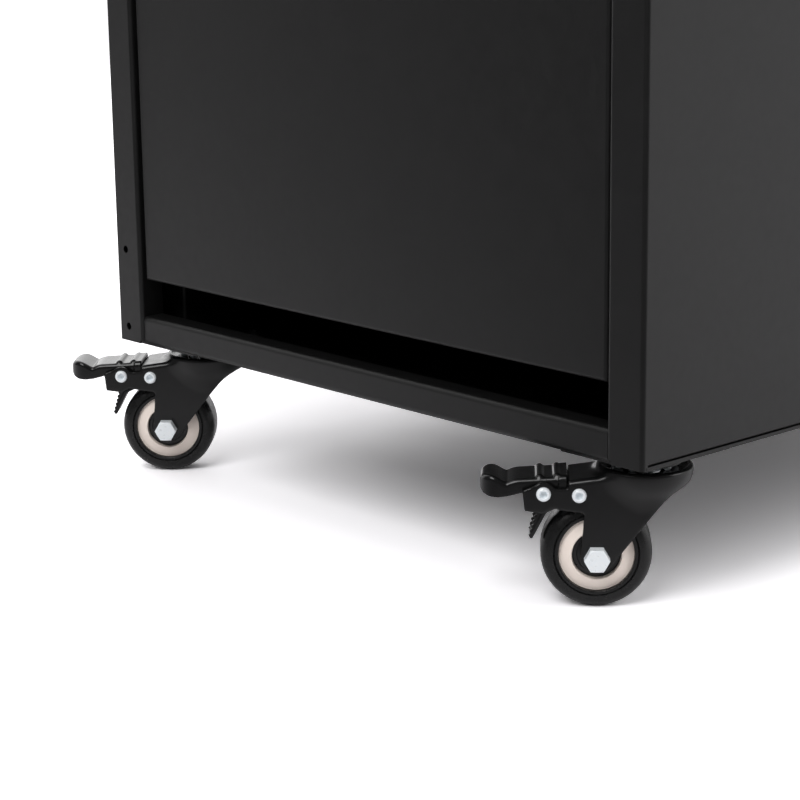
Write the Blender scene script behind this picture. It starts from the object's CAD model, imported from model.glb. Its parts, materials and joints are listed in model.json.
"""Looks of the rolling pedestal cabinet: camera, light, materials and the finely shaped caster pieces."""
import json
import math

import bpy
import numpy as np
from mathutils import Matrix, Vector


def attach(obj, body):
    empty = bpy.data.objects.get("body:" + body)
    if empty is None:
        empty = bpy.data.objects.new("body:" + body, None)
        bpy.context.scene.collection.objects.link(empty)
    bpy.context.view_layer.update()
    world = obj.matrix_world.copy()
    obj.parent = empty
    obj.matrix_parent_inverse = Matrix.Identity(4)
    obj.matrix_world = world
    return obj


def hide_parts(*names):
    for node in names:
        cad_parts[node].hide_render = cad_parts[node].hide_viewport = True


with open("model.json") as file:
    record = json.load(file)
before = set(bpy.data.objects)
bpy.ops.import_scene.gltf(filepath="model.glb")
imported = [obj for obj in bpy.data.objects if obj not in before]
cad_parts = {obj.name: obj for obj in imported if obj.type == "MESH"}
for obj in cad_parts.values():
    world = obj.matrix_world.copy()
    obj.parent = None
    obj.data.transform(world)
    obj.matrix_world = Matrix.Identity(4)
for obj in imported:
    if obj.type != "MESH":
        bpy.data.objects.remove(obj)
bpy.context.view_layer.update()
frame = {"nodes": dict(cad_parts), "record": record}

MM = 0.001

# Caster sizes in millimetres, as in the solids. A caster is drawn with its axle at u = 0,
# its swivel axis at u = CASTER_OFFSET, v across the wheel and z above the floor.
STEMS = {
    "front_left": (-159.5, -214.4),
    "front_right": (159.5, -214.4),
    "rear_left": (-159.5, 214.4),
    "rear_right": (159.5, 214.4),
}
CASTER_OFFSET = 21.5
CASTER_YAW = math.radians(45)
WHEEL_R = 25.0
TYRE_HALF = 11.0
HUB_R = 17.0
HUB_RIM_HALF = 9.05
HUB_BOSS_HALF = 11.5
BEARING_R = 11.0
BEARING_IN = 6.5
BEARING_BORE_R = 4.05
LEG_IN = 13.0
LEG_T = 2.2
LEG_OUT = LEG_IN + LEG_T
LEG_TIP_R = 7.4
LEG_BACK = 33.0
HEAD_Z = 65.0
HEAD_R = 21.7
SHOULDER_R = 2.4
WEB_SLOPE = math.radians(8)
WEB_DROP = 3.2
WEB_FRONT = {True: -12.6, False: -9.0}
PIVOT = (-23.6, 54.3)
PAD_PIVOT = (-7.9, 53.7)
RIVET_R = 2.5
BOLT_R = 3.0
HEX_FLAT = 10.0
HEAD_HIGH = 5.6
NUT_HIGH = 5.0
THREAD_OUT = 6.0
FIT = 0.05


def is_braked(caster):
    return caster.startswith("front")


def caster_matrix(caster):
    x, y = STEMS[caster]
    place = Matrix.Translation(Vector((x, y, 0)) * MM)
    return place @ Matrix.Rotation(CASTER_YAW, 4, "Z") @ Matrix.Translation((-CASTER_OFFSET * MM, 0, 0))


def axle_matrix(caster):
    """Wheel frame: the axle along local Z, towards the outer bolt head."""
    lift = Matrix.Translation((0, 0, WHEEL_R * MM))
    return caster_matrix(caster) @ lift @ Matrix.Rotation(math.radians(90), 4, "X")


# Mesh helpers

def add_piece(name, points, faces, matrix, material, crease_deg=35):
    mesh = bpy.data.meshes.new(name)
    mesh.from_pydata([tuple(p) for p in points], [], [tuple(f) for f in faces])
    mesh.validate()
    mesh.polygons.foreach_set("use_smooth", [True] * len(mesh.polygons))
    mesh.set_sharp_from_angle(angle=math.radians(crease_deg))
    mesh.materials.append(material)
    piece = bpy.data.objects.new(name, mesh)
    bpy.context.scene.collection.objects.link(piece)
    piece.matrix_world = matrix
    return piece


def stand_for(piece, node, body):
    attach(piece, body)
    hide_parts(node)


def arc(centre, radius, start_deg, end_deg, count):
    angles = np.radians(np.linspace(start_deg, end_deg, count))
    return [(centre[0] + radius * math.cos(a), centre[1] + radius * math.sin(a)) for a in angles]


def lathe(profile, segments=144):
    """Closed outline of (radius, height) turned round Z, in metres."""
    points = []
    faces = []
    count = len(profile)
    for i in range(segments):
        angle = 2 * math.pi * i / segments
        c, s = math.cos(angle), math.sin(angle)
        points += [(r * c * MM, r * s * MM, h * MM) for r, h in profile]
    for i in range(segments):
        a, b = i * count, (i + 1) % segments * count
        for j in range(count):
            k = (j + 1) % count
            faces.append((a + j, b + j, b + k, a + k))
    return points, faces


def turned_faces(count, segments):
    """Faces between outlines of count points turned round Z, closed by the axis points 0 and 1."""
    faces = []
    for i in range(segments):
        a, b = 2 + i * count, 2 + (i + 1) % segments * count
        faces.append((0, b, a))
        faces.append((1, a + count - 1, b + count - 1))
        for j in range(count - 1):
            faces.append((a + j, b + j, b + j + 1, a + j + 1))
    return faces


def turned_solid(profile, segments=96):
    """Open outline from the axis to the axis, turned round Z, in metres."""
    outline = profile[1:-1]
    points = [(0, 0, profile[0][1] * MM), (0, 0, profile[-1][1] * MM)]
    for i in range(segments):
        angle = 2 * math.pi * i / segments
        c, s = math.cos(angle), math.sin(angle)
        points += [(r * c * MM, r * s * MM, h * MM) for r, h in outline]
    return points, turned_faces(len(outline), segments)


def hexagon(flat, height, chamfer_deg=24, segments=144):
    """Hexagonal head that stands on z = 0, with the round chamfer of a turned blank, in metres."""
    inner = 0.47 * flat
    dish_r = 0.9 * inner
    dish = 0.05
    points = [(0, 0, 0), (0, 0, height * MM)]
    for i in range(segments):
        angle = 2 * math.pi * i / segments
        reach = 0.5 * flat / math.cos(angle % (math.pi / 3) - math.pi / 6)
        drop = (reach - inner) * math.tan(math.radians(chamfer_deg))
        c, s = math.cos(angle), math.sin(angle)
        outline = [(reach, 0), (reach, height - drop), (inner, height), (dish_r, height - dish)]
        points += [(r * c * MM, r * s * MM, h * MM) for r, h in outline]
    return points, turned_faces(len(outline), segments)


def joined(*parts):
    """Several (points, faces) as one, each moved by its matrix."""
    points = []
    faces = []
    for (some, rows), matrix in parts:
        base = len(points)
        points += [tuple(matrix @ Vector(p)) for p in some]
        faces += [tuple(base + i for i in row) for row in rows]
    return points, faces


# Distance fields: each gives a signed distance in millimetres, negative inside

def smooth_min(a, b, k):
    h = np.clip(0.5 + 0.5 * (b - a) / k, 0, 1)
    return b + (a - b) * h - k * h * (1 - h)


def smooth_max(a, b, k):
    return -smooth_min(-a, -b, k)


def rounded_corner(a, b, r):
    """Inside of two faces with their edge rounded."""
    outer = np.hypot(np.maximum(a + r, 0), np.maximum(b + r, 0))
    return outer + np.minimum(np.maximum(a, b) + r, 0) - r


def outline_distance(outline, x, y):
    near = np.inf
    inside = False
    for (x0, y0), (x1, y1) in zip(outline, outline[1:] + outline[:1]):
        ex, ey = x1 - x0, y1 - y0
        t = np.clip(((x - x0) * ex + (y - y0) * ey) / (ex * ex + ey * ey), 0, 1)
        near = np.minimum(near, np.hypot(x - x0 - t * ex, y - y0 - t * ey))
        if ey != 0:
            crosses = ((y0 > y) != (y1 > y)) & (x < x0 + ex * (y - y0) / ey)
            inside = inside ^ crosses
    return np.where(inside, -near, near)


def capsule_distance(a, b, x, y):
    ex, ey = b[0] - a[0], b[1] - a[1]
    t = np.clip(((x - a[0]) * ex + (y - a[1]) * ey) / (ex * ex + ey * ey), 0, 1)
    return np.hypot(x - a[0] - t * ex, y - a[1] - t * ey)


def field_surface(field, low, high, step):
    """Points and quads where a field is zero: found on a grid, then drawn onto the exact surface."""
    passes = 3
    probe = 0.01
    least_steepness = 0.25
    longest_move = 0.3 * step
    x, y, z = (np.arange(a, b + step, step) for a, b in zip(low, high))
    value = field(x[:, None, None], y[None, :, None], z[None, None, :])
    value = np.broadcast_to(value, (len(x), len(y), len(z)))
    inside = value < 0
    cells = tuple(n - 1 for n in value.shape)
    total = np.zeros(cells + (3,))
    count = np.zeros(cells)
    corners = [(i, j, k) for i in (0, 1) for j in (0, 1) for k in (0, 1)]
    for a in corners:
        for axis in range(3):
            if a[axis]:
                continue
            b = tuple(1 if n == axis else a[n] for n in range(3))
            va = value[tuple(slice(a[n], a[n] + cells[n]) for n in range(3))]
            vb = value[tuple(slice(b[n], b[n] + cells[n]) for n in range(3))]
            crossed = (va < 0) != (vb < 0)
            t = np.where(crossed, va / np.where(crossed, va - vb, 1), 0)
            for n in range(3):
                total[..., n] += crossed * (t if n == axis else a[n])
            count += crossed
    used = count > 0
    number = np.full(cells, -1)
    number[used] = np.arange(used.sum())
    where = np.argwhere(used)
    points = np.array([x[0], y[0], z[0]]) + step * (where + total[used] / count[used][:, None])
    quads = []
    for axis in range(3):
        p, q = (axis + 1) % 3, (axis + 2) % 3
        ahead = np.take(inside, range(1, inside.shape[axis]), axis)
        behind = np.take(inside, range(inside.shape[axis] - 1), axis)
        for flip in (False, True):
            edges = np.argwhere(ahead & ~behind if flip else behind & ~ahead)
            edges = edges[(edges[:, p] > 0) & (edges[:, q] > 0)]
            edges = edges[(edges[:, p] < cells[p]) & (edges[:, q] < cells[q])]
            ring = []
            for dp, dq in ((1, 1), (0, 1), (0, 0), (1, 0)):
                cell = edges.copy()
                cell[:, p] -= dp
                cell[:, q] -= dq
                ring.append(number[tuple(cell.T)])
            ring = np.stack(ring, axis=1)
            quads.append(ring[:, ::-1] if flip else ring)
    for _ in range(passes):
        here = field(*points.T)
        slope = np.stack([
            (field(*(points + delta).T) - field(*(points - delta).T)) / (2 * probe)
            for delta in np.eye(3) * probe
        ], axis=1)
        steepness = np.maximum((slope * slope).sum(axis=1), least_steepness)
        move = -slope * (here / steepness)[:, None]
        points = points + np.clip(move, -longest_move, longest_move)
    return points * MM, np.concatenate(quads)


# Forks

BLANK_TOP = 70.0
LIP_DEEP = 6.4
EAR_R = 5.2
EAR_BLEND = 1.2
ARM_BLEND = 1.6
LEG_CORNER_R = 10.0
LIP_FALL = 0.9
FLARE_Z = 58.5
FLARE = 0.8
FLARE_BLEND = 5.0
BELL_STEEPNESS = 0.85
BELL_EDGE_R = 1.6
BELL_BLEND = 4.0
EDGE_BLEND = 0.5
RACE_R = 19.2
RACE_Z = 64.0
KINGPIN_HOLE_R = 4.1


def web_top(u):
    return HEAD_Z - WEB_DROP + u * math.tan(WEB_SLOPE)


def fork_blank(u, z, braked):
    """Side outline of the pressed fork: legs, head, lip and, with a brake, the arms with their ears."""
    front = WEB_FRONT[braked]
    leg = [
        (-7.28, 23.7), (-5.6, 45), (-5.6, BLANK_TOP), (46, BLANK_TOP), (46, 57.8), (42, 57.4), (38.5, 56.5),
        (35.0, 54.8), (32.2, 52.8), (29.6, 50.4), (24.9, 45.0), (11.4, 27.6), (5.86, 20.5),
    ]
    lip = [
        (front, web_top(front) - LIP_DEEP), (front, BLANK_TOP),
        (0, BLANK_TOP), (0, web_top(0) - LIP_DEEP),
    ]
    shape = np.minimum(outline_distance(leg, u, z), np.hypot(u, z - WHEEL_R) - LEG_TIP_R)
    shape = np.minimum(shape, outline_distance(lip, u, z))
    if braked:
        arm = [
            (-3, 45.2), (-3, 57.5), (-12, 56.6), (-17.4, 56.4), (-28.3, 57.4),
            (-33, 55.7), (-32, 46.5), (-23.6, 45.4), (-19.4, 47.8), (-14, 46.6),
        ]
        ear = np.hypot(u - PIVOT[0], z - PIVOT[1]) - EAR_R
        arm_and_ear = smooth_min(outline_distance(arm, u, z), ear, EAR_BLEND)
        shape = smooth_min(shape, arm_and_ear, ARM_BLEND)
    return shape


def fork_field(braked):
    front = WEB_FRONT[braked]

    def field(u, v, z):
        wide = np.abs(v)
        round_stem = np.hypot(u - CASTER_OFFSET, v)
        top = web_top(u) + LIP_FALL * np.maximum(front - u, 0)
        legs = rounded_corner(wide - LEG_OUT, u - LEG_BACK, LEG_CORNER_R)
        block = rounded_corner(legs, (z - top) * math.cos(WEB_SLOPE), SHOULDER_R)
        flare = FLARE * smooth_max(FLARE_Z - z, 0 * z, FLARE_BLEND)
        bell = rounded_corner((round_stem - HEAD_R + flare) * BELL_STEEPNESS, z - HEAD_Z, BELL_EDGE_R)
        die = smooth_min(block, bell, BELL_BLEND)
        sheet = np.maximum(die, -(die + LEG_T))
        sheet = smooth_max(sheet, fork_blank(u, z, braked), EDGE_BLEND)
        sheet = np.maximum(sheet, -np.maximum(u - front, wide - LEG_IN))
        sheet = smooth_max(sheet, -np.maximum(round_stem - RACE_R, RACE_Z - z), EDGE_BLEND)
        sheet = np.maximum(sheet, KINGPIN_HOLE_R - round_stem)
        sheet = np.maximum(sheet, BOLT_R + FIT - np.hypot(u, z - WHEEL_R))
        if braked:
            for pin in (PIVOT, PAD_PIVOT):
                sheet = np.maximum(sheet, RIVET_R + FIT - np.hypot(u - pin[0], z - pin[1]))
        return sheet

    return field


# Pedals, drawn from their pivot

PEDAL_HALF = 11.8
PEDAL_T = 1.6
PEDAL_FRONT = 28.3
PEDAL_BACK = 10.5
PEDAL_RISE = 6.35
PEDAL_TILT = math.radians(3)
TOE_LOW = 4.0
TOE_TOP = 7.3
TOE_AT = -24.2
TOE_R = 7.0
HOLLOW_AT = -16.5
HOLLOW_SLOPE = 0.6
TOE_CORNER_R = 8.0
TOE_BLEND = 2.4
RAMP_BLEND = 1.6
PEDAL_STEEPNESS = 0.9
PEDAL_EDGE_R = 1.9
LUG_R = 4.6
LUG_BLEND = 1.5
CUT_BLEND = 0.4
RIBS_AT = (6.0, -1.7)
RIB_R = 1.9
RIB_SUNK = 0.5
RIB_HALF = 8.8
RIB_BLEND = 0.9
BEAD_OUT = 0.7
BEAD_HALF = 1.9
BEAD_LOW = 1.5


def pedal_top(p):
    """Height of the pedal's upper face: round toe, hollow behind it, then the tilted tread."""
    toe = TOE_TOP - (p - TOE_AT) ** 2 / (2 * TOE_R)
    ramp = TOE_LOW + HOLLOW_SLOPE * np.maximum(p - HOLLOW_AT, 0)
    tread = PEDAL_RISE + p * math.tan(PEDAL_TILT)
    return smooth_max(toe, smooth_min(tread, ramp, RAMP_BLEND), TOE_BLEND)


def pedal_field(p, v, q):
    wide = np.abs(v)
    top = pedal_top(p)
    plan = rounded_corner(-PEDAL_FRONT - p, wide - PEDAL_HALF, TOE_CORNER_R)
    die = rounded_corner(plan, (q - top) * PEDAL_STEEPNESS, PEDAL_EDGE_R)
    sheet = np.maximum(die, -(die + PEDAL_T))
    skirt = [
        (-32, 14), (-32, 4.4), (-28.8, 1.2), (-26.8, -1.2), (-24, -2.3), (-20, -2.6), (-16, -2.1),
        (-12, -1.1), (-8, 0), (-4.6, 0.6), (4.6, 1.6), (9.0, 3.0), (PEDAL_BACK, 4.2), (PEDAL_BACK, 14),
    ]
    lug = [(-7, 5), (-LUG_R, 0), (LUG_R, 0), (8, 5)]
    blank = np.minimum(outline_distance(lug, p, q), np.hypot(p, q) - LUG_R)
    blank = smooth_min(outline_distance(skirt, p, q), blank, LUG_BLEND)
    sheet = smooth_max(sheet, blank, CUT_BLEND)
    for rib_p in RIBS_AT:
        middle = PEDAL_RISE + rib_p * math.tan(PEDAL_TILT) - RIB_SUNK
        along = np.maximum(wide - RIB_HALF, 0)
        rib = np.sqrt((p - rib_p) ** 2 + (q - middle) ** 2 + along ** 2) - RIB_R
        sheet = smooth_min(sheet, np.maximum(rib, -(die + PEDAL_T)), RIB_BLEND)
    bead = np.maximum(die - BEAD_OUT, -(die + PEDAL_T))
    bead = smooth_max(bead, np.abs(p - PEDAL_BACK + BEAD_HALF) - BEAD_HALF, CUT_BLEND)
    bead = smooth_max(bead, BEAD_LOW - q, CUT_BLEND)
    sheet = smooth_min(sheet, bead, CUT_BLEND)
    return np.maximum(sheet, RIVET_R + FIT - np.hypot(p, q))


# Brake plates

BRAKE_HALF = 6.5
BRAKE_T = 1.6
STRIP_START = (-3.9, 53.2)
STRIP_BEND = (-22.8, 43.8)
STRIP_END = (-29.0, 32.0)
STRIP_BLEND = 0.6
WING_EDGE_BLEND = 0.3
TEETH = 6
TOOTH_DEEP = 1.2
WING_WIDE = 4.4
WING_NARROW = 1.6


def brake_wing():
    run = np.array(STRIP_END) - np.array(STRIP_BEND)
    along = run / np.linalg.norm(run)
    out = np.array([along[1], -along[0]])
    pitch = np.linalg.norm(run) / TEETH
    edge = [tuple(np.array(STRIP_BEND) - along * pitch * 0.5 + out * (WING_WIDE - TOOTH_DEEP))]
    for i in range(TEETH):
        width = WING_WIDE - (WING_WIDE - WING_NARROW) * i / TEETH
        tip = np.array(STRIP_BEND) + along * pitch * i + out * width
        root = np.array(STRIP_BEND) + along * pitch * (i + 0.5) + out * (width - TOOTH_DEEP)
        edge += [tuple(tip), tuple(root)]
    return [STRIP_BEND] + edge + [tuple(np.array(STRIP_END) + out * WING_NARROW), STRIP_END]


def brake_field(u, v, z):
    wide = np.abs(v)
    strip = capsule_distance(STRIP_START, STRIP_BEND, u, z)
    strip = smooth_min(strip, capsule_distance(STRIP_BEND, STRIP_END, u, z), STRIP_BLEND) - BRAKE_T / 2
    strip = np.maximum(strip, wide - BRAKE_HALF)
    ear = [STRIP_START, (-5.9, 55.7), (-11.9, 55.7), (-13.9, 50.3)]
    side = np.minimum(outline_distance(brake_wing(), u, z), outline_distance(ear, u, z))
    side = np.minimum(side, np.hypot(u - PAD_PIVOT[0], z - PAD_PIVOT[1]) - RIVET_R - BRAKE_T)
    side = smooth_max(side, np.abs(wide - BRAKE_HALF + BRAKE_T / 2) - BRAKE_T / 2, WING_EDGE_BLEND)
    plate = smooth_min(strip, side, STRIP_BLEND)
    return np.maximum(plate, RIVET_R + FIT - np.hypot(u - PAD_PIVOT[0], z - PAD_PIVOT[1]))


# Materials

def new_material(name):
    material = bpy.data.materials.new(name)
    material.use_nodes = True
    tree = material.node_tree
    return material, tree, tree.nodes["Principled BSDF"]


def noise(tree, scale, detail=3.0):
    """Noise in the object's own metres, so that it moves with the piece."""
    coords = tree.nodes.new("ShaderNodeTexCoord")
    texture = tree.nodes.new("ShaderNodeTexNoise")
    texture.inputs["Scale"].default_value = scale
    texture.inputs["Detail"].default_value = detail
    tree.links.new(coords.outputs["Object"], texture.inputs["Vector"])
    return texture.outputs["Fac"]


def ramp_colour(tree, value, low, high, start=0.35, end=0.65):
    """Colour between two tones, by noise from start to end."""
    ramp = tree.nodes.new("ShaderNodeValToRGB")
    ramp.color_ramp.elements[0].position = start
    ramp.color_ramp.elements[0].color = (*low, 1)
    ramp.color_ramp.elements[1].position = end
    ramp.color_ramp.elements[1].color = (*high, 1)
    tree.links.new(value, ramp.inputs["Fac"])
    return ramp.outputs["Color"]


def ramp_value(tree, value, low, high, start=0.3, end=0.7):
    span = tree.nodes.new("ShaderNodeMapRange")
    span.inputs["From Min"].default_value = start
    span.inputs["From Max"].default_value = end
    span.inputs["To Min"].default_value = low
    span.inputs["To Max"].default_value = high
    tree.links.new(value, span.inputs["Value"])
    return span.outputs["Result"]


def add_bump(tree, shader, height, strength, distance):
    bump = tree.nodes.new("ShaderNodeBump")
    bump.inputs["Strength"].default_value = strength
    bump.inputs["Distance"].default_value = distance
    tree.links.new(height, bump.inputs["Height"])
    tree.links.new(bump.outputs["Normal"], shader.inputs["Normal"])


def paint(name, dark, light, rough, specular, grain_scale, grain_depth, coat=0.0):
    """Stoved paint: faint mottling, uneven gloss and the fine texture of the coat."""
    material, tree, shader = new_material(name)
    mottle = noise(tree, 60, 4)
    tree.links.new(ramp_colour(tree, mottle, dark, light), shader.inputs["Base Color"])
    tree.links.new(ramp_value(tree, noise(tree, 220, 2), *rough), shader.inputs["Roughness"])
    shader.inputs["Specular IOR Level"].default_value = specular
    shader.inputs["Coat Weight"].default_value = coat
    shader.inputs["Coat Roughness"].default_value = 0.12
    add_bump(tree, shader, noise(tree, grain_scale, 2), 0.35, grain_depth)
    return material


def plated_steel(name, dark, light, rough, metallic):
    """Zinc plate with a faint spangle and fine scratches."""
    material, tree, shader = new_material(name)
    spangle = noise(tree, 900, 3)
    tree.links.new(ramp_colour(tree, spangle, dark, light), shader.inputs["Base Color"])
    tree.links.new(ramp_value(tree, noise(tree, 400, 4), *rough), shader.inputs["Roughness"])
    shader.inputs["Metallic"].default_value = metallic
    add_bump(tree, shader, noise(tree, 2500, 2), 0.08, 0.00002)
    return material


def moulded(name, dark, light, rough, specular, ring_scale=0.0):
    """Moulded plastic or rubber, with the fine turned lines of its mould where a ring scale is given."""
    material, tree, shader = new_material(name)
    tree.links.new(ramp_colour(tree, noise(tree, 140, 4), dark, light), shader.inputs["Base Color"])
    tree.links.new(ramp_value(tree, noise(tree, 300, 3), *rough), shader.inputs["Roughness"])
    shader.inputs["Specular IOR Level"].default_value = specular
    height = noise(tree, 1800, 2)
    if ring_scale:
        coords = tree.nodes.new("ShaderNodeTexCoord")
        rings = tree.nodes.new("ShaderNodeTexWave")
        rings.wave_type = "RINGS"
        rings.rings_direction = "Z"
        rings.inputs["Scale"].default_value = ring_scale
        rings.inputs["Distortion"].default_value = 0.4
        tree.links.new(coords.outputs["Object"], rings.inputs["Vector"])
        height = rings.outputs["Fac"]
    add_bump(tree, shader, height, 0.2, 0.00003)
    return material


CASE = paint(
    "case_paint", (0.0035, 0.0034, 0.0035), (0.0045, 0.0044, 0.0045),
    (0.4, 0.46), 0.45, 1500, 0.00006,
)
CASTER = paint(
    "caster_paint", (0.0065, 0.0065, 0.0067), (0.008, 0.008, 0.0082),
    (0.18, 0.26), 0.37, 700, 0.00003,
)
PEDAL = paint(
    "pedal_paint", (0.0045, 0.0045, 0.0047), (0.006, 0.006, 0.0062),
    (0.14, 0.22), 0.38, 500, 0.00003, 0.1,
)
ZINC = plated_steel("zinc_steel", (0.92, 0.965, 1.0), (0.94, 0.98, 1.0), (0.26, 0.36), 0.12)
SLIDE_STEEL = plated_steel("slide_steel", (0.5, 0.51, 0.53), (0.58, 0.59, 0.61), (0.3, 0.42), 0.75)
LOCK_CHROME = plated_steel("lock_chrome", (0.6, 0.61, 0.62), (0.66, 0.67, 0.68), (0.12, 0.2), 0.9)
TYRE = moulded("tyre", (0.0055, 0.0055, 0.0057), (0.007, 0.007, 0.0072), (0.24, 0.34), 0.38, 260)
HUB = moulded("hub_plastic", (0.94, 0.83, 0.75), (0.97, 0.86, 0.78), (0.38, 0.5), 0.35)
BEARING = moulded("bearing_plastic", (0.006, 0.006, 0.0065), (0.009, 0.009, 0.0095), (0.26, 0.38), 0.5, 400)
BY_SLOT = {
    "case_paint": CASE,
    "caster_paint": CASTER,
    "pedal_paint": PEDAL,
    "zinc_steel": ZINC,
    "tyre": TYRE,
    "hub_plastic": HUB,
    "bearing_plastic": BEARING,
}
for part in frame["record"]["subparts"]:
    mesh = frame["nodes"][part["node"]].data
    mesh.materials.clear()
    mesh.materials.append(BY_SLOT[part["material_slot"]])
    if "slide" in part["node"] and part["material_slot"] == "zinc_steel":
        mesh.materials[0] = SLIDE_STEEL
    if part["node"].startswith("lock"):
        mesh.materials[0] = LOCK_CHROME
frame["nodes"]["caster_screws"].data.materials[0] = CASTER


# Caster pieces

def tyre_profile():
    shoulder = 6.0
    lip = 0.6
    groove = 0.5
    half, inner = TYRE_HALF, HUB_R
    groove_at = inner + 1.9
    side = [(inner, -8.9)] + arc((inner + lip, -half + lip), lip, 180, 270, 5)
    side += [(groove_at - groove, -half), (groove_at, -half + groove), (groove_at + groove, -half)]
    side += arc((WHEEL_R - shoulder, -half + shoulder), shoulder, -86, -6, 16)
    return side + [(r, -h) for r, h in reversed(side)]


def hub_profile():
    rim, boss = HUB_RIM_HALF, HUB_BOSS_HALF
    boss_edge = 0.45
    rim_edge = 0.5
    key_half = 4
    side = [(BEARING_R - 2, -BEARING_IN), (BEARING_R, -BEARING_IN)]
    side += arc((BEARING_R + boss_edge, -boss + boss_edge), boss_edge, 180, 262, 6)
    side += arc((HUB_R - rim_edge, -rim + 0.42), rim_edge, -112, -8, 6)
    side += [(HUB_R, -key_half), (HUB_R + 2, -key_half)]
    return side + [(r, -h) for r, h in reversed(side)]


def bearing_profile(sign):
    outer = HUB_BOSS_HALF - 3.0
    groove = outer - 0.5
    edge = 0.5
    outside = BEARING_R - FIT
    face = [(BEARING_BORE_R, BEARING_IN), (BEARING_BORE_R, outer), (6.0, outer)]
    face += [(6.3, groove), (8.6, groove), (8.9, outer)]
    face += arc((outside - edge, outer - edge), edge, 90, 0, 5) + [(outside, BEARING_IN)]
    return [(r, sign * h) for r, h in (reversed(face) if sign > 0 else face)]


def rivet_parts(pin):
    """Headed pin through both arms, dimpled at each end."""
    dome = [
        (0, -1.4), (0.9, -1.4), (1.25, -1.1), (1.6, 1.1), (1.75, 1.45), (1.95, 1.6),
        (2.4, 1.6), (2.75, 1.45), (3.05, 1.0), (3.25, 0.4), (3.25, 0),
    ]
    lower = [(r, -LEG_OUT - h) for r, h in dome] + [(RIVET_R, -LEG_OUT)]
    profile = lower + [(r, -h) for r, h in reversed(lower)]
    turn = Matrix.Rotation(math.radians(90), 4, "X")
    return turned_solid(profile), Matrix.Translation((pin[0] * MM, 0, pin[1] * MM)) @ turn


def axle_parts():
    """Bolt, nut and the two flanged bushes, in the wheel frame."""
    flip = Matrix.Rotation(math.radians(180), 4, "X")
    head = Matrix.Translation((0, 0, LEG_OUT * MM))
    nut = Matrix.Translation((0, 0, -LEG_OUT * MM)) @ flip
    tip = -LEG_OUT - THREAD_OUT
    thread = [(0, tip), (2.3, tip), (2.9, tip + 0.5), (BOLT_R, -LEG_OUT), (BOLT_R, LEG_OUT), (0, LEG_OUT)]
    bush = [
        (BOLT_R + FIT, FIT), (4.0, FIT), (4.0, 10.8), (6.2, 10.8),
        (6.5, 11.1), (6.5, LEG_IN), (BOLT_R + FIT, LEG_IN),
    ]
    return joined(
        (hexagon(HEX_FLAT, HEAD_HIGH), head),
        (hexagon(HEX_FLAT, NUT_HIGH), nut),
        (turned_solid(thread), Matrix.Identity(4)),
        (lathe(bush), Matrix.Identity(4)),
        (lathe(bush), flip),
    )


FORK_STEP = 0.55
PEDAL_STEP = 0.4
BRAKE_STEP = 0.35

fork_shapes = {
    braked: field_surface(fork_field(braked), (-36 if braked else -12, -23, 16), (45, 23, 67), FORK_STEP)
    for braked in (True, False)
}
pedal_shape = field_surface(pedal_field, (-30, -13.2, -6.4), (12.2, 13.2, 11), PEDAL_STEP)
brake_shape = field_surface(brake_field, (-34, -7.6, 30), (0, 7.6, 58), BRAKE_STEP)
axle_shape = axle_parts()
tyre_shape = lathe(tyre_profile())
hub_shape = lathe(hub_profile())
bearing_shape = joined(
    (lathe(bearing_profile(1)), Matrix.Identity(4)),
    (lathe(bearing_profile(-1)), Matrix.Identity(4)),
)

for caster in STEMS:
    braked = is_braked(caster)
    ground = caster_matrix(caster)
    axle = axle_matrix(caster)
    fork = add_piece(f"{caster}_pressed_fork", *fork_shapes[braked], ground, CASTER, crease_deg=50)
    stand_for(fork, f"{caster}_fork", f"{caster}_caster")
    bolt = add_piece(f"{caster}_axle_bolt", *axle_shape, axle, ZINC, crease_deg=20)
    stand_for(bolt, f"{caster}_axle", f"{caster}_caster")
    tyre = add_piece(f"{caster}_moulded_tyre", *tyre_shape, axle, TYRE)
    stand_for(tyre, f"{caster}_tyre", f"{caster}_wheel")
    hub = add_piece(f"{caster}_moulded_hub", *hub_shape, axle, HUB)
    stand_for(hub, f"{caster}_hub", f"{caster}_wheel")
    bearing = add_piece(f"{caster}_wheel_bearings", *bearing_shape, axle, BEARING)
    stand_for(bearing, f"{caster}_bearings", f"{caster}_wheel")
    if braked:
        rivets = add_piece(
            f"{caster}_arm_rivets", *joined(rivet_parts(PIVOT), rivet_parts(PAD_PIVOT)), ground, ZINC
        )
        stand_for(rivets, f"{caster}_rivets", f"{caster}_caster")
        at_pivot = ground @ Matrix.Translation((PIVOT[0] * MM, 0, PIVOT[1] * MM))
        pedal = add_piece(f"{caster}_pressed_pedal", *pedal_shape, at_pivot, PEDAL, crease_deg=60)
        stand_for(pedal, f"{caster}_pedal", f"{caster}_pedal")
        brake = add_piece(f"{caster}_toothed_brake", *brake_shape, ground, CASTER, crease_deg=45)
        stand_for(brake, f"{caster}_brake_plate", f"{caster}_brake")


# Camera, as the photograph was taken

CAMERA_AT = Vector((0.820181, -0.952196, 0.338882))
CAMERA_YAW = 0.840
CAMERA_PITCH = 0.243
CAMERA_ROLL = -0.014
LENS_MM = 103.49
SENSOR_MM = 36

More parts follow.
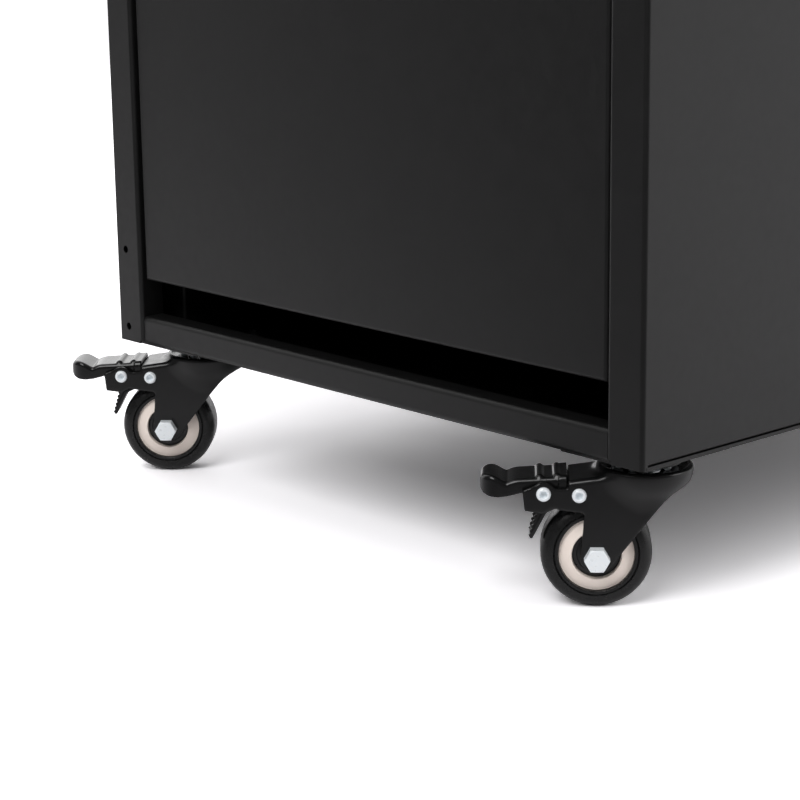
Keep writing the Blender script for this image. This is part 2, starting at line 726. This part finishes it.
ahead = Vector((
    -math.sin(CAMERA_YAW) * math.cos(CAMERA_PITCH),
    math.cos(CAMERA_YAW) * math.cos(CAMERA_PITCH),
    -math.sin(CAMERA_PITCH),
))
level = Vector((math.cos(CAMERA_YAW), math.sin(CAMERA_YAW), 0))
upright = level.cross(ahead)
right = level * math.cos(CAMERA_ROLL) + upright * math.sin(CAMERA_ROLL)
up = upright * math.cos(CAMERA_ROLL) - level * math.sin(CAMERA_ROLL)
camera_data = bpy.data.cameras.new("camera")
camera_data.sensor_fit = "HORIZONTAL"
camera_data.sensor_width = SENSOR_MM
camera_data.lens = LENS_MM
camera_data.clip_start = 0.05
camera_data.clip_end = 100
camera = bpy.data.objects.new("camera", camera_data)
bpy.context.scene.collection.objects.link(camera)
camera.matrix_world = Matrix.Translation(CAMERA_AT) @ Matrix((right, up, -ahead)).transposed().to_4x4()
bpy.context.scene.camera = camera


# Floor and light

WHITE_BACK = (-0.45, 0.89, 0)


def dark_side(tree, coords, start, end, low, high):
    """Low towards the studio's dark front, high towards its white back, for a place or a direction."""
    facing = tree.nodes.new("ShaderNodeVectorMath")
    facing.operation = "DOT_PRODUCT"
    facing.inputs[1].default_value = WHITE_BACK
    tree.links.new(coords, facing.inputs[0])
    shade = tree.nodes.new("ShaderNodeMapRange")
    shade.interpolation_type = "SMOOTHSTEP"
    shade.inputs["From Min"].default_value = start
    shade.inputs["From Max"].default_value = end
    shade.inputs["To Min"].default_value = low
    shade.inputs["To Max"].default_value = high
    tree.links.new(facing.outputs["Value"], shade.inputs["Value"])
    return shade.outputs["Result"]


def mixed(tree, share, first, second):
    mix = tree.nodes.new("ShaderNodeMixShader")
    tree.links.new(share, mix.inputs["Fac"])
    tree.links.new(first, mix.inputs[1])
    tree.links.new(second, mix.inputs[2])
    return mix.outputs["Shader"]


def pale_floor():
    """Pale floor. The camera sees it brighter than it shines on the object, so that open floor is white."""
    material, tree, shader = new_material("pale_floor")
    tint = ramp_colour(tree, noise(tree, 3, 4), (0.845, 0.832, 0.85), (0.885, 0.872, 0.89))
    tree.links.new(tint, shader.inputs["Base Color"])
    tree.links.new(ramp_value(tree, noise(tree, 30, 3), 0.6, 0.75), shader.inputs["Roughness"])
    shader.inputs["Specular IOR Level"].default_value = 0.15
    add_bump(tree, shader, noise(tree, 400, 2), 0.05, 0.0002)
    again = tree.nodes.new("ShaderNodeBsdfDiffuse")
    lift = ramp_colour(tree, noise(tree, 3, 4), (0.735, 0.722, 0.74), (0.775, 0.762, 0.78))
    tree.links.new(lift, again.inputs["Color"])
    both = tree.nodes.new("ShaderNodeAddShader")
    tree.links.new(shader.outputs["BSDF"], both.inputs[0])
    tree.links.new(again.outputs["BSDF"], both.inputs[1])
    unlit = tree.nodes.new("ShaderNodeBsdfDiffuse")
    unlit.inputs["Color"].default_value = (0, 0, 0, 1)
    coords = tree.nodes.new("ShaderNodeTexCoord")
    share = dark_side(tree, coords.outputs["Object"], -0.56, -0.2, 0.15, 1.0)
    mirrored = mixed(tree, share, unlit.outputs["BSDF"], shader.outputs["BSDF"])
    rays = tree.nodes.new("ShaderNodeLightPath")
    surface = mixed(tree, rays.outputs["Is Glossy Ray"], shader.outputs["BSDF"], mirrored)
    surface = mixed(tree, rays.outputs["Is Camera Ray"], surface, both.outputs["Shader"])
    tree.links.new(surface, tree.nodes["Material Output"].inputs["Surface"])
    reach = 30.0
    corners = [(-reach, -reach, 0), (reach, -reach, 0), (reach, reach, 0), (-reach, reach, 0)]
    mesh = bpy.data.meshes.new("floor")
    mesh.from_pydata(corners, [], [(0, 1, 2, 3)])
    mesh.materials.append(material)
    floor = bpy.data.objects.new("floor", mesh)
    bpy.context.scene.collection.objects.link(floor)


def area_light(name, place, target, size, power):
    data = bpy.data.lights.new(name, "AREA")
    data.shape = "RECTANGLE"
    data.size, data.size_y = size
    data.energy = power
    light = bpy.data.objects.new(name, data)
    bpy.context.scene.collection.objects.link(light)
    light.location = place
    light.rotation_euler = (Vector(target) - Vector(place)).to_track_quat("-Z", "Y").to_euler()


def white_surround():
    """White room, darker towards the front right, where the photograph's studio is dark."""
    world = bpy.data.worlds.new("studio")
    bpy.context.scene.world = world
    world.use_nodes = True
    tree = world.node_tree
    tree.nodes.clear()
    rays = tree.nodes.new("ShaderNodeLightPath")
    coords = tree.nodes.new("ShaderNodeTexCoord")
    ambient = tree.nodes.new("ShaderNodeBackground")
    glow = dark_side(tree, coords.outputs["Generated"], -0.6, 0.3, 0.2, 0.9)
    tree.links.new(glow, ambient.inputs["Strength"])
    mirrored = tree.nodes.new("ShaderNodeBackground")
    sheen = dark_side(tree, coords.outputs["Generated"], -0.2, 0.15, 0.15, 1.0)
    tree.links.new(sheen, mirrored.inputs["Strength"])
    backdrop = tree.nodes.new("ShaderNodeBackground")
    backdrop.inputs["Strength"].default_value = 1.0
    for light in (ambient, mirrored, backdrop):
        light.inputs["Color"].default_value = (1, 1, 1, 1)
    surface = mixed(
        tree, rays.outputs["Is Glossy Ray"], ambient.outputs["Background"], mirrored.outputs["Background"]
    )
    for ray in ("Is Transmission Ray", "Is Camera Ray"):
        surface = mixed(tree, rays.outputs[ray], surface, backdrop.outputs["Background"])
    output = tree.nodes.new("ShaderNodeOutputWorld")
    tree.links.new(surface, output.inputs["Surface"])


pale_floor()
white_surround()
area_light("key", (0.6, -1.9, 2.05), (0, 0, 0.1), (1.6, 1.6), 42)
area_light("left", (-1.7, 0.5, 0.95), (0, 0, 0), (2.0, 2.0), 8)
area_light("back", (1.9, 1.2, 1.5), (0.1, 0, 0.3), (1.4, 1.4), 16)

bpy.context.scene.view_settings.view_transform = "Standard"
